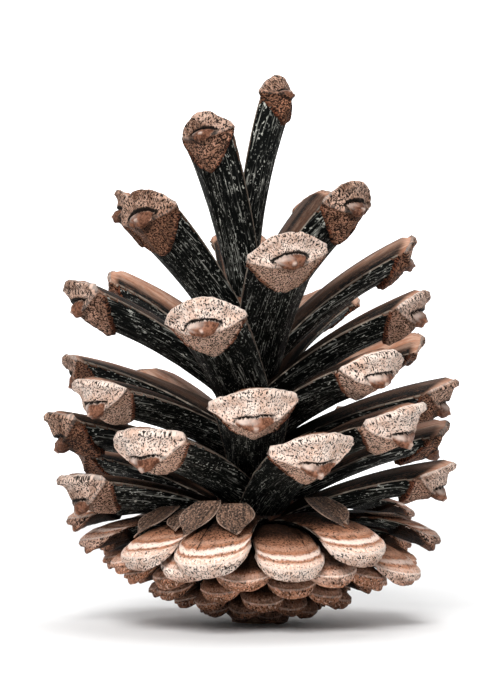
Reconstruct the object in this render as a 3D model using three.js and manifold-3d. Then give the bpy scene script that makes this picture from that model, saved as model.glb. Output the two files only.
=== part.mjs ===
// A pine cone that stands open on its base. A woody axis carries the scales in a golden-angle spiral:
// small closed ones underneath, then the half-open skirt, then the long open ones up to the crown.
// Millimetres, +Z up. The origin is the middle of the stalk scar that the cone rests on, and -Y is its front.
import * as THREE from "three";
import { mergeVertices } from "three/addons/utils/BufferGeometryUtils.js";
import Module from "manifold-3d";

// Driving dimensions of the spiral
const DIVERGENCE_DEG = 137.508;
const SPIRAL_START_DEG = 20; // heading of scale 0, from the front (-Y) towards +X
const FIRST_SCALE = -76;
const LAST_SCALE = 31;
const LOST_SCALES = [30]; // broken off beside the crown's last scale
const CONE_LEAN_DEG = 1.4; // the crown leans towards -X

// What a scale measures along the spiral, at a few indices. start is the distance from the axis where it
// begins, inside the wood, and root is its height there. reach and tip are the same two for the upper edge
// of its exposed end. halfWidth is half its widest, depth is how thick its exposed end is, and flank is the
// share of that depth that is left half way to the side.
const STATIONS = [
  { index: -76, start: 1.6, root: 3.4, reach: 5.8, tip: 0.9, halfWidth: 1.8, depth: 1.3, flank: 0.85 },
  { index: -60, start: 2.4, root: 4.6, reach: 10.6, tip: 2.9, halfWidth: 2.4, depth: 1.6, flank: 0.85 },
  { index: -45, start: 2.8, root: 6.2, reach: 15.4, tip: 5.0, halfWidth: 2.9, depth: 1.8, flank: 0.85 },
  { index: -30, start: 3.2, root: 8.4, reach: 19.6, tip: 8.0, halfWidth: 3.5, depth: 2.0, flank: 0.85 },
  { index: -18, start: 3.2, root: 10.2, reach: 22.4, tip: 9.6, halfWidth: 4.1, depth: 2.1, flank: 0.83 },
  { index: -9, start: 3.0, root: 11.6, reach: 24.6, tip: 11.6, halfWidth: 4.6, depth: 2.2, flank: 0.8 },
  { index: -5, start: 2.9, root: 12.5, reach: 25.6, tip: 12.8, halfWidth: 4.9, depth: 2.3, flank: 0.76 },
  { index: -4, start: 2.8, root: 12.8, reach: 26.4, tip: 17.8, halfWidth: 5.0, depth: 3.7, flank: 0.62 },
  { index: -3, start: 2.8, root: 13.0, reach: 26.6, tip: 19.6, halfWidth: 5.1, depth: 3.8, flank: 0.6 },
  { index: 0, start: 2.6, root: 14.4, reach: 26.7, tip: 22.1, halfWidth: 5.3, depth: 4.0, flank: 0.56 },
  { index: 8, start: 2.4, root: 20.2, reach: 27.2, tip: 29.0, halfWidth: 5.4, depth: 4.1, flank: 0.56 },
  { index: 16, start: 2.2, root: 27.4, reach: 25.6, tip: 38.6, halfWidth: 5.2, depth: 4.1, flank: 0.56 },
  { index: 21, start: 2.0, root: 32.6, reach: 23.6, tip: 46.2, halfWidth: 5.0, depth: 4.1, flank: 0.56 },
  { index: 26, start: 1.6, root: 38.4, reach: 19.8, tip: 55.4, halfWidth: 4.5, depth: 3.9, flank: 0.6 },
  { index: 29, start: 0.8, root: 42.2, reach: 12.3, tip: 65.2, halfWidth: 3.7, depth: 3.6, flank: 0.65 },
  { index: 31, start: -0.8, root: 44.0, reach: 5.6, tip: 71.2, halfWidth: 3.0, depth: 3.6, flank: 0.7 },
];

// How far some scales stand off the even spiral: turn in degrees, lift in millimetres at the tip, and roll
// in degrees about their own length.
const OFF_SPIRAL = new Map([
  [-16, { turn: 0, lift: -1.7, roll: 0 }],
  [-15, { turn: 0, lift: 0.8, roll: 0 }],
  [-13, { turn: 4, lift: -0.3, roll: 0 }],
  [-10, { turn: 6, lift: -0.6, roll: 0 }],
  [-8, { turn: -6, lift: 0.4, roll: 0 }],
  [-7, { turn: 0, lift: 1.1, roll: 0 }],
  [-6, { turn: 0, lift: 0.6, roll: 0 }],
  [-5, { turn: -2, lift: -1.8, roll: 0 }],
  [-2, { turn: 0, lift: -1.4, roll: 0 }],
  [0, { turn: -3, lift: 1.4, roll: 0 }],
  [2, { turn: 0, lift: 1.3, roll: 0 }],
  [5, { turn: -6, lift: 0.4, roll: 0 }],
  [9, { turn: -10, lift: 3.5, roll: 0 }],
  [10, { turn: 0, lift: -1, roll: 0 }],
  [11, { turn: 0, lift: -1.5, roll: 0 }],
  [13, { turn: 7, lift: -1.4, roll: 0 }],
  [14, { turn: 0, lift: -1.5, roll: 16 }],
  [16, { turn: 6, lift: 1.6, roll: 0 }],
  [19, { turn: 0, lift: 0.9, roll: 0 }],
  [21, { turn: 0, lift: 2, roll: 0 }],
  [22, { turn: 0, lift: -1, roll: 0 }],
  [24, { turn: 0, lift: 2.8, roll: 0 }],
  [27, { turn: 0, lift: -1.8, roll: 0 }],
  [28, { turn: 5, lift: -4.5, roll: 0 }],
  [29, { turn: -19, lift: 0, roll: 0 }],
  [31, { turn: -22, lift: 0, roll: -14 }],
]);

// The closed scales hang lower at the front, a little to the right, and lift opposite that, by this much at
// a given reach.
const DROOP_HEADING_DEG = 25;
const FRONT_DROOP = 2.8;
const BACK_LIFT = 1.0;
const DROOP_REACH = 25;

// Shape of one scale. What lies back from its end edge is given in shares of its half width.
// Of the end: its side corners, its edge beside the middle, and its cross ridge.
const OPEN_END = { corner: 0.62, endFlank: 0.13, keel: 0.4 };
const CLOSED_END = { corner: 0.95, endFlank: 0.17, keel: 0.15 };
const HOOD_BACK = 1.55; // the lower point of the exposed end
const HOOD_STEP = 0.14; // the step where the exposed end rises from the blade
const BLADE_EDGE_BEHIND = 0.24; // where the blade's side edges run into the exposed end, behind its corners
const CORNER_DROP = 0.22; // how far the corners lie under the middle of the end edge
// Widths are shares of the half width, and depths are shares of the exposed end's depth.
const ROOT_WIDTH = 0.65;
const BLADE_WIDTH = 0.93;
const FLANK_AT = 0.56; // the points part way to the side
const ROOT_DEPTH = 0.45;
const BLADE_DEPTH = 0.7;
const BLADE_FLANK = 0.78;
const HOOD_DEPTH = 0.95;
const KEEL_DEPTH = 0.76;
const BLADE_DROP = 0.4; // the blade's edges droop towards the corners by this share of their drop
const BLADE_RISE = 0.3; // the upper face's middle, above the side edges
const TOP_RISE = 0.16; // and at its end
const UMBO_HALF_WIDTH = 0.34; // the boss on the cross ridge
const UMBO_HALF_HEIGHT = 0.2;
const UMBO_FORWARD = 0.24; // its peak, ahead of the cross ridge and under it
const UMBO_DOWN = 0.12;
const RECURVE_OPEN_DEG = 24; // an open scale flattens this much from root to end
const RECURVE_CLOSED_DEG = 62;
const OPEN_INDEX = -4; // scales from here up are open
const SKIRT_INDEX = -30; // and from here up to those they make the skirt
const BLADE_STEPS_OPEN = [0, 0.38, 0.72, 1];
const BLADE_STEPS_SKIRT = [0, 0.45, 0.8, 1];
const BLADE_STEPS_BASE = [0, 0.6, 1];

// Papery wings that the seeds left behind on some scales of the skirt. side is where the wing sits across
// the scale and from where along it, as shares of its half width and length. splay is how far it points
// aside, and curl how far it rolls up from the scale, in degrees.
const WINGS = [
  { index: -12, side: 0.2, from: 0.5, splay: 10, curl: 70 },
  { index: -11, side: -0.3, from: 0.5, splay: -15, curl: 75 },
  { index: -10, side: -0.35, from: 0.5, splay: -22, curl: 95 },
  { index: -10, side: 0.35, from: 0.52, splay: 18, curl: 70 },
  { index: -9, side: 0.3, from: 0.48, splay: 12, curl: 80 },
  { index: -8, side: -0.25, from: 0.5, splay: -12, curl: 32 },
  { index: -7, side: 0.35, from: 0.5, splay: 22, curl: 90 },
  { index: -7, side: -0.3, from: 0.5, splay: -18, curl: 70 },
  { index: -6, side: -0.2, from: 0.48, splay: -10, curl: 75 },
  { index: -5, side: -0.36, from: 0.5, splay: -24, curl: 80 },
  { index: -5, side: 0.36, from: 0.5, splay: 26, curl: 95 },
];
const WING_LENGTH = 5.6;
const WING_ROOT_HALF = 1.5;
const WING_END_HALF = 2.6;
const WING_THICKNESS = 0.7;
const WING_SUNK = 0.5; // how deep its root sits in the scale
const WING_STEPS = [0, 0.4, 0.75, 1];
const WING_CUP = 0.45; // its sides curl up by this much at its end

// Axis: radius and height from below its stalk scar up
const SCAR_RADIUS = 3.4;
const AXIS_PROFILE = [
  [0, -1],
  [SCAR_RADIUS, -1],
  [SCAR_RADIUS, 0.4],
  [5.6, 3],
  [6.6, 7],
  [5.6, 13],
  [4.0, 22],
  [3.2, 36],
  [2.4, 45],
  [0, 47],
];
const AXIS_SIDES = 14;
const FLOOR_CUT = 60; // side of the block that cuts the scar flat and trims the lowest scales flush with it

const wasm = await Module();
wasm.setup();

function toSolid(geometry) {
  geometry.deleteAttribute("normal");
  geometry.deleteAttribute("uv");
  const merged = mergeVertices(geometry, 1e-4);
  return new wasm.Manifold(
    new wasm.Mesh({
      numProp: 3,
      vertProperties: merged.attributes.position.array,
      triVerts: new Uint32Array(merged.index.array),
    }),
  );
}

function toGeometry(solid) {
  const mesh = solid.getMesh();
  const geometry = new THREE.BufferGeometry();
  geometry.setAttribute("position", new THREE.BufferAttribute(mesh.vertProperties, 3));
  geometry.setIndex(new THREE.BufferAttribute(mesh.triVerts, 1));
  geometry.computeVertexNormals();
  return geometry;
}

// The measures of one scale, read off the stations on each side of it.
function measuresOf(index) {
  const above = Math.max(1, STATIONS.findIndex((s) => s.index >= index));
  const [low, high] = [STATIONS[above - 1], STATIONS[above]];
  const share = (index - low.index) / (high.index - low.index);
  const between = (key) => THREE.MathUtils.lerp(low[key], high[key], share);
  const { turn, lift, roll } = OFF_SPIRAL.get(index) ?? { turn: 0, lift: 0, roll: 0 };
  const heading = THREE.MathUtils.degToRad(SPIRAL_START_DEG - index * DIVERGENCE_DEG + turn);
  const front = Math.cos(heading - THREE.MathUtils.degToRad(DROOP_HEADING_DEG));
  const open = index >= OPEN_INDEX;
  const closedSteps = index < SKIRT_INDEX ? BLADE_STEPS_BASE : BLADE_STEPS_SKIRT;
  const reach = between("reach");
  const droop = open ? 0 : ((front > 0 ? FRONT_DROOP : BACK_LIFT) * front * reach) / DROOP_REACH;
  return {
    heading,
    open,
    bladeSteps: open ? BLADE_STEPS_OPEN : closedSteps,
    reach,
    roll: THREE.MathUtils.degToRad(roll),
    recurve: THREE.MathUtils.degToRad(open ? RECURVE_OPEN_DEG : RECURVE_CLOSED_DEG),
    start: between("start"),
    root: between("root"),
    tip: between("tip") + lift - droop,
    halfWidth: between("halfWidth"),
    depth: between("depth"),
    flank: between("flank"),
  };
}

// The line that a scale follows: an arc in the upright plane through the axis, from the root to the end edge.
// It returns the arc's length and a function that places a point (along, across, up) of the scale.
function centreLine({ heading, roll, recurve, start, root, reach, tip }) {
  const run = reach - start;
  const rise = tip - root;
  const length = (Math.hypot(run, rise) * (recurve / 2)) / Math.sin(recurve / 2);
  const startSlope = Math.atan2(rise, run) + recurve / 2;
  const bend = recurve / length;
  const outward = new THREE.Vector3(Math.sin(heading), -Math.cos(heading), 0);
  const across = new THREE.Vector3(0, 0, 1).cross(outward);
  const place = (along, side, up) => {
    const turned = new THREE.Vector2(side, up).rotateAround(new THREE.Vector2(), (roll * along) / length);
    const slope = startSlope - bend * along;
    const radius = start + (Math.sin(startSlope) - Math.sin(slope)) / bend - turned.y * Math.sin(slope);
    const height = root + (Math.cos(slope) - Math.cos(startSlope)) / bend + turned.y * Math.cos(slope);
    return new THREE.Vector3(0, 0, height).addScaledVector(outward, radius).addScaledVector(across, turned.x);
  };
  return { length, place };
}

// A closed skin of triangles, with its points given in a scale's own directions.
class Skin {
  constructor(place) {
    this.place = place;
    this.points = [];
    this.faces = [];
  }

  point(along, side, up) {
    this.points.push(this.place(along, side, up));
    return this.points.length - 1;
  }

  // Joins each ring of points to the next with a band of triangles.
  band(rings) {
    for (let r = 1; r < rings.length; r++) {
      rings[r].forEach((point, i) => {
        const next = (i + 1) % rings[r].length;
        this.faces.push([rings[r - 1][i], rings[r - 1][next], rings[r][next]]);
        this.faces.push([rings[r - 1][i], rings[r][next], point]);
      });
    }
  }

  // Closes a ring with a fan that faces the root. A reversed ring gets a fan that faces the other way.
  cap(ring) {
    for (let i = 1; i < ring.length - 1; i++) {
      this.faces.push([ring[0], ring[i + 1], ring[i]]);
    }
  }

  solid() {
    const geometry = new THREE.BufferGeometry().setFromPoints(this.points);
    return toSolid(geometry.setIndex(this.faces.flat()));
  }
}

// The rings of a scale's blade: left edge, under it to the right edge, and the middle of the upper face.
function bladeRings(skin, length, { halfWidth, depth, open, bladeSteps }) {
  const edgeEnd = length - ((open ? OPEN_END : CLOSED_END).corner + BLADE_EDGE_BEHIND) * halfWidth;
  return bladeSteps.map((step) => {
    const middle = step * (length - HOOD_BACK * halfWidth);
    const edge = step * edgeEnd;
    const flank = (middle + edge) / 2;
    const half = halfWidth * THREE.MathUtils.lerp(ROOT_WIDTH, BLADE_WIDTH, step);
    const under = depth * THREE.MathUtils.lerp(ROOT_DEPTH, BLADE_DEPTH, step);
    const edgeUp = -step * BLADE_DROP * CORNER_DROP * halfWidth;
    return [
      skin.point(edge, -half, edgeUp),
      skin.point(flank, -half * FLANK_AT, -under * BLADE_FLANK),
      skin.point(middle, 0, -under),
      skin.point(flank, half * FLANK_AT, -under * BLADE_FLANK),
      skin.point(edge, half, edgeUp),
      skin.point(edge, 0, depth * BLADE_RISE),
    ];
  });
}

// The exposed end of a scale, from the blade's last ring on: a hood with a cross ridge. An open scale has a
// boss on the ridge.
function addHood(skin, length, ring, { halfWidth, depth, flank, open }) {
  const end = open ? OPEN_END : CLOSED_END;
  const back = (share) => length - share * halfWidth;
  const [edgeL, underL, underM, underR, edgeR, topM] = ring;
  const top = depth * TOP_RISE;
  const drop = CORNER_DROP * halfWidth;
  const keelDeep = depth * KEEL_DEPTH;
  const hoodEnd = back(HOOD_BACK - HOOD_STEP);
  const lowM = skin.point(hoodEnd, 0, -depth * HOOD_DEPTH);
  const keelM = skin.point(back(end.keel), 0, -keelDeep);
  const endM = skin.point(length, 0, top);
  const boss = open ? addBoss(skin, back(end.keel), keelDeep, halfWidth, flank, top) : null;
  const sides = [
    { sign: -1, edge: edgeL, under: underL },
    { sign: 1, edge: edgeR, under: underR },
  ];
  for (const { sign, edge, under } of sides) {
    const wide = sign * halfWidth;
    const corner = skin.point(back(end.corner), wide, top - drop);
    const low = skin.point((hoodEnd + back(end.corner)) / 2, wide * FLANK_AT, -depth * HOOD_DEPTH * flank);
    const ridgeBack = open ? end.keel : THREE.MathUtils.lerp(end.keel, end.corner, FLANK_AT ** 2);
    const ridge = skin.point(back(ridgeBack), wide * FLANK_AT, -keelDeep * flank);
    const rim = skin.point(back(end.endFlank), wide * FLANK_AT, top - drop * FLANK_AT ** 2);
    const step = [[edge, under, low], [edge, low, corner], [under, underM, lowM], [under, lowM, low]];
    const face = [[topM, edge, corner], [topM, corner, rim], [topM, rim, endM]];
    const front = boss
      ? boss.faces(sign, { corner, low, lowM, ridge, rim, endM })
      : [[low, lowM, keelM], [low, keelM, ridge], [ridge, keelM, rim], [keelM, endM, rim]];
    const cheek = [[corner, low, ridge], [corner, ridge, rim]];
    for (const [a, b, c] of [...step, ...cheek, ...front, ...face]) {
      skin.faces.push(sign < 0 ? [a, b, c] : [a, c, b]);
    }
  }
}

// The boss on an open scale's cross ridge: an eye-shaped pyramid. It returns the faces round it on one side.
function addBoss(skin, keel, keelDeep, halfWidth, flank, top) {
  const high = UMBO_HALF_HEIGHT * halfWidth;
  const climb = ((keelDeep + top) * high) / (OPEN_END.keel * halfWidth);
  const below = skin.point(keel - high, 0, -keelDeep);
  const above = skin.point(keel + high / 2, 0, climb / 2 - keelDeep);
  const peak = skin.point(keel + UMBO_FORWARD * halfWidth, 0, -keelDeep - UMBO_DOWN * halfWidth);
  const faces = (sign, { low, lowM, ridge, rim, endM }) => {
    const aside = skin.point(keel, sign * halfWidth * UMBO_HALF_WIDTH, (-keelDeep * (flank + 1)) / 2);
    const lower = [[low, lowM, below], [low, below, aside], [low, aside, ridge]];
    const upper = [[ridge, aside, rim], [aside, above, rim], [above, endM, rim]];
    return [...lower, ...upper, [aside, below, peak], [above, aside, peak]];
  };
  return { faces };
}

// One scale: a blade with a rounded underside that widens from its root to its exposed end.
function scaleSolid(index) {
  const measures = measuresOf(index);
  const { length, place } = centreLine(measures);
  const skin = new Skin(place);
  const rings = bladeRings(skin, length, measures);
  skin.cap(rings[0]);
  skin.band(rings);
  addHood(skin, length, rings.at(-1), measures);
  return skin.solid();
}

// One seed wing: a thin strip that leaves the scale's upper face and rolls up along its length.
function wingSolid({ index, side, from, splay, curl }) {
  const { halfWidth, ...line } = measuresOf(index);
  const { length, place } = centreLine(line);
  const skin = new Skin(place);
  const aside = THREE.MathUtils.degToRad(splay);
  const turn = THREE.MathUtils.degToRad(curl);
  const radius = WING_LENGTH / turn;
  const rings = WING_STEPS.map((step) => {
    const half = THREE.MathUtils.lerp(WING_ROOT_HALF, WING_END_HALF, step);
    const corner = (across, cup, thick) => {
      const out = radius - cup - thick;
      const ahead = out * Math.sin(step * turn);
      const along = from * length + ahead * Math.cos(aside) - across * Math.sin(aside) * step;
      const beside = side * halfWidth + ahead * Math.sin(aside) + across * Math.cos(aside);
      return skin.point(along, beside, radius - out * Math.cos(step * turn) - WING_SUNK * (1 - step));
    };
    const cup = WING_CUP * step;
    return [
      corner(-half, cup, 0),
      corner(0, 0, 0),
      corner(half, cup, 0),
      corner(half, cup, WING_THICKNESS),
      corner(0, 0, WING_THICKNESS),
      corner(-half, cup, WING_THICKNESS),
    ];
  });
  skin.cap(rings[0]);
  skin.band(rings);
  skin.cap([...rings.at(-1)].reverse());
  return skin.solid();
}

function axisSolid() {
  const profile = AXIS_PROFILE.map(([radius, height]) => new THREE.Vector2(radius, height));
  return toSolid(new THREE.LatheGeometry(profile, AXIS_SIDES).rotateX(Math.PI / 2));
}

// Fuses solids in pairs of halves.
function fuse(solids) {
  if (solids.length === 1) return solids[0];
  const half = solids.length >> 1;
  return fuse(solids.slice(0, half)).add(fuse(solids.slice(half)));
}

// The whole cone, leaning and cut flat underneath. Only its outer body is kept, which fills any closed gap.
function coneSolid() {
  const scales = [];
  for (let index = FIRST_SCALE; index <= LAST_SCALE; index++) {
    if (!LOST_SCALES.includes(index)) scales.push(scaleSolid(index));
  }
  const grown = fuse([axisSolid(), ...scales, ...WINGS.map(wingSolid)]);
  const block = new THREE.BoxGeometry(FLOOR_CUT, FLOOR_CUT, FLOOR_CUT).translate(0, 0, -FLOOR_CUT / 2);
  const bodies = grown.rotate([0, -CONE_LEAN_DEG, 0]).subtract(toSolid(block)).decompose();
  return bodies.reduce((largest, body) => (body.volume() > largest.volume() ? body : largest));
}

const wood = new THREE.MeshStandardMaterial({ color: 0x6b4a3a, roughness: 0.75, metalness: 0 });

const cone = new THREE.Mesh(toGeometry(coneSolid()), wood);
cone.name = "pine_cone";

const part = new THREE.Group();
part.add(cone);

export default part;
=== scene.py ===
"""A dry, open pine cone standing on its base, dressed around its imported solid.

The woody axis carries the scales in a golden-angle spiral. Each scale has a dark fibrous blade and an exposed
end, the hood, with a cross ridge (the keel) and a boss (the umbo). Papery seed wings cling to the skirt.
Lengths in the dataclasses are millimetres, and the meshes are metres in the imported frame.
"""

import logging
import math
from dataclasses import dataclass, field
from enum import Enum
from typing import NamedTuple

import bpy
import numpy as np
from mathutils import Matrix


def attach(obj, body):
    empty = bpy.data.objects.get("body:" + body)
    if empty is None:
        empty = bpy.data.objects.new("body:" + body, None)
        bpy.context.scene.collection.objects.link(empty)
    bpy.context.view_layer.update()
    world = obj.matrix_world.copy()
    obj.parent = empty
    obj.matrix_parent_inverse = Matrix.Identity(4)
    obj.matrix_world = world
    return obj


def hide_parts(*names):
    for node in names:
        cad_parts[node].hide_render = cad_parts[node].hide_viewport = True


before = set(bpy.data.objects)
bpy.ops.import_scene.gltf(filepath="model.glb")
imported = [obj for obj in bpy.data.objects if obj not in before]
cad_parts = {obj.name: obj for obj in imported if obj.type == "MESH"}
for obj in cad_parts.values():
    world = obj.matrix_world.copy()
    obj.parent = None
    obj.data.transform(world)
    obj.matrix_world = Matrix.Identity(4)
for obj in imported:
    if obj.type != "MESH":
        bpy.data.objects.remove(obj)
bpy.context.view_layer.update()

LOG = logging.getLogger("pine_cone")
MM = 0.001
BODY = "root"
NODE = "pine_cone"
UV_MAP = "OFBake"

Place = tuple[float, float, float]
Colour = tuple[float, float, float]

# The spiral, and how the cone and its scales lean, bend and droop.
DIVERGENCE_DEG = 137.508
SPIRAL_START_DEG = 20.0
FIRST_SCALE = -76
FIRST_SKIRT = -30
OPEN_INDEX = -4
FIRST_UPPER = 10
FIRST_CROWN = 21
LAST_SCALE = 31
LOST_SCALES = (30,)
CONE_LEAN_DEG = 1.4
RECURVE_OPEN_DEG = 24.0
RECURVE_CLOSED_DEG = 62.0
DROOP_HEADING_DEG = 25.0
FRONT_DROOP = 2.8
BACK_LIFT = 1.0
DROOP_REACH = 25.0
TWIST_OPEN_DEG = 6.0

# The seeded differences between scales.
FIRST_DRAW = 4000
ROLL_SPREAD_DEG = 5.0
BLEACH_SPREAD = 0.12
SKEW_SPREAD = 0.13
PATTERN_STEP = 3.7

# The outline of a scale: places and widths in half widths, depths and rises in depths.
CORNER_BACK = 0.62
CORNER_BACK_CLOSED = 0.95
KEEL_BACK = 0.4
KEEL_BACK_CLOSED = 0.15
KEEL_DEPTH = 0.76
KEEL_DEPTH_LOW = 0.91
HOOD_BACK = 1.55
HOOD_BACK_CROWN = 1.85
CROWN_FULLER = 0.13
HOOD_STEP = 0.14
BLADE_EDGE_BEHIND = 0.24
STEP_EDGE_BEHIND = 0.18
ROOT_WIDTH = 0.65
BLADE_WIDTH = 0.93
STEP_WIDTH = 0.95
ROOT_DEPTH = 0.45
BLADE_DEPTH = 0.7
HOOD_DEPTH = 0.95
HOOD_SWELL = 0.05
BLADE_ROUND = 2.6
CORNER_DROP = 0.22
CORNER_DROP_FLAT = 0.1
BLADE_DROP = 0.4
STEP_DROP = 0.6
EDGE_SWEEP = 1.25
LIP = 0.2
LIP_CLOSED = 0.26
LIP_BULGE = 0.45
SWELL = 0.02
SWELL_CLOSED = 0.16
END_ROUND = 1.0
END_ROUND_CLOSED = 0.52
BLADE_RISE = 0.3
TOP_RISE = 0.16
FLANK_AT = 0.56
BOSS_LOW = 0.03
BOSS_HIGH = 0.13
BOSS_HALF = 0.41
BOSS_ABOVE = 0.18
BOSS_BELOW = 0.24

# What the points of an upper face say in place of their distance from the hood and the boss.
OVER_FROM_HOOD = 9.0
OVER_LENS = -3.0

# From where to where the scales change: heights of their ends in millimetres, numbers in the spiral, or how far
# they face the front, from -1 to 1.
RAISED_HEIGHTS = (26.0, 36.0)
CROWN_HEIGHTS = (50.0, 60.0)
FLATTER_HEIGHTS = (54.0, 62.0)
DULL_HEIGHTS = (34.0, 58.0)
# Painted shade: closed scales lose their paleness towards the lowest rows, over these numbers.
PALE_NUMBERS = (-33.0, -8.0)
BANDED_NUMBERS = (-24.0, -11.0)
SOOTY_NUMBERS = (25.0, 28.0)
# Painted light: scales are painted paler as they face the front, over these ranges.
PALE_FRONT = (0.0, 0.95)
PALE_FRONT_CLOSED = (0.2, 0.75)
# Painted light: open scales that face the back get their upper faces painted lit and tan.
UPPER_LIT_BACK = (0.05, -0.55)

# Painted light and shade: how pale a scale is painted when it faces the back and when it faces the front, and
# how much of that is lost at the crown.
PALE = (0.12, 1.0)
PALE_CLOSED = (0.3, 0.92)
PALE_LOST = 0.72


@dataclass(frozen=True)
class Station:
    """What a scale measures at one index of the spiral, in millimetres."""

    index: int
    start: float
    root: float
    reach: float
    tip: float
    half_width: float
    depth: float
    flank: float


STATIONS = (
    Station(-76, 1.6, 3.4, 5.8, 0.9, 1.8, 1.3, 0.85),
    Station(-60, 2.4, 4.6, 10.6, 2.9, 2.4, 1.6, 0.85),
    Station(-45, 2.8, 6.2, 15.4, 5.0, 2.9, 1.8, 0.85),
    Station(-30, 3.2, 8.4, 19.6, 8.0, 3.5, 2.0, 0.85),
    Station(-18, 3.2, 10.2, 22.4, 9.6, 4.1, 2.1, 0.83),
    Station(-9, 3.0, 11.6, 24.6, 11.6, 4.6, 2.2, 0.8),
    Station(-5, 2.9, 12.5, 25.6, 12.8, 4.9, 2.3, 0.76),
    Station(-4, 2.8, 12.8, 26.4, 17.8, 5.0, 3.7, 0.62),
    Station(-3, 2.8, 13.0, 26.6, 19.6, 5.1, 3.8, 0.6),
    Station(0, 2.6, 14.4, 26.7, 22.1, 5.3, 4.0, 0.56),
    Station(8, 2.4, 20.2, 27.2, 29.0, 5.4, 4.1, 0.56),
    Station(16, 2.2, 27.4, 25.6, 38.6, 5.2, 4.1, 0.56),
    Station(21, 2.0, 32.6, 23.6, 46.2, 5.0, 4.1, 0.56),
    Station(26, 1.6, 38.4, 19.8, 55.4, 4.5, 3.9, 0.6),
    Station(29, 0.8, 42.2, 12.3, 65.2, 3.7, 3.6, 0.65),
    Station(31, -0.8, 44.0, 5.6, 71.2, 3.0, 3.6, 0.7),
)

# The scales that stand off the spiral: their extra turn in degrees and lift in millimetres.
OFF_SPIRAL = {
    -16: (0.0, -1.7),
    -15: (0.0, 0.8),
    -13: (4.0, -0.3),
    -10: (6.0, -0.6),
    -8: (-6.0, 0.4),
    -7: (0.0, 1.1),
    -6: (0.0, 0.6),
    -5: (-2.0, -1.8),
    -2: (0.0, -1.4),
    0: (-3.0, 1.4),
    2: (0.0, 1.3),
    5: (-6.0, 0.4),
    9: (-10.0, 3.5),
    10: (0.0, -1.0),
    11: (0.0, -1.5),
    13: (7.0, -1.4),
    14: (0.0, -1.5),
    16: (6.0, 1.6),
    19: (0.0, 0.9),
    21: (0.0, 2.0),
    22: (0.0, -1.0),
    24: (0.0, 2.8),
    27: (0.0, -1.8),
    28: (5.0, -4.5),
    29: (-19.0, 0.0),
    31: (-22.0, 0.0),
}
ROLL_DEG = {14: 16.0, 31: -14.0}


class Zone(Enum):
    """The parts of a scale's surface that its rows of points run over, in order."""

    BLADE = 0
    STEP = 1
    LOWER = 2
    UPPER = 3
    LIP = 4


def mix(a: np.ndarray | float, b: np.ndarray | float, share: np.ndarray | float) -> np.ndarray | float:
    """Blends a into b by share."""
    return a + (b - a) * share


def smooth(low: float, high: float, value: np.ndarray | float) -> np.ndarray | float:
    """Rises smoothly from 0 at low to 1 at high."""
    share = np.clip((value - low) / (high - low), 0.0, 1.0)
    return share * share * (3.0 - 2.0 * share)


def crest(value: np.ndarray, width: float) -> np.ndarray:
    """A rounded rise: 1 where value is 0, and next to nothing two widths away."""
    return np.exp(-((value / width) ** 2))


def steps(count: int) -> np.ndarray:
    """Even steps up to 1, without the 0."""
    return np.arange(1, count + 1) / count


def lean_cone(x: np.ndarray, height: np.ndarray) -> tuple[np.ndarray, np.ndarray]:
    """Leans the cone to its side, and keeps what is low on the floor.

    Args:
        x: Places to the right of the axis.
        height: Heights above the floor.

    Returns:
        The new places and heights.
    """
    lean = math.radians(CONE_LEAN_DEG)
    risen = x * math.sin(lean) + height * math.cos(lean)
    return x * math.cos(lean) - height * math.sin(lean), np.maximum(risen, 0.0)


def lattice_noise(x: np.ndarray, y: np.ndarray, seed: float) -> np.ndarray:
    """Seeded value noise on the plane, for the small relief of the wood.

    Args:
        x: First coordinate, in noise cells.
        y: Second coordinate, in noise cells, of the same shape.
        seed: Picks one of many unlike patterns.

    Returns:
        Values between -1 and 1, of the same shape.
    """
    x0, y0 = np.floor(x), np.floor(y)
    fx, fy = x - x0, y - y0
    fx, fy = fx * fx * (3 - 2 * fx), fy * fy * (3 - 2 * fy)

    def corner(dx: int, dy: int) -> np.ndarray:
        """A scrambled value at one corner of each cell."""
        wave = np.sin((x0 + dx) * 127.1 + (y0 + dy) * 311.7 + seed * 74.7) * 43758.5453
        return 2.0 * (wave - np.floor(wave)) - 1.0

    return mix(mix(corner(0, 0), corner(1, 0), fx), mix(corner(0, 1), corner(1, 1), fx), fy)


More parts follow.
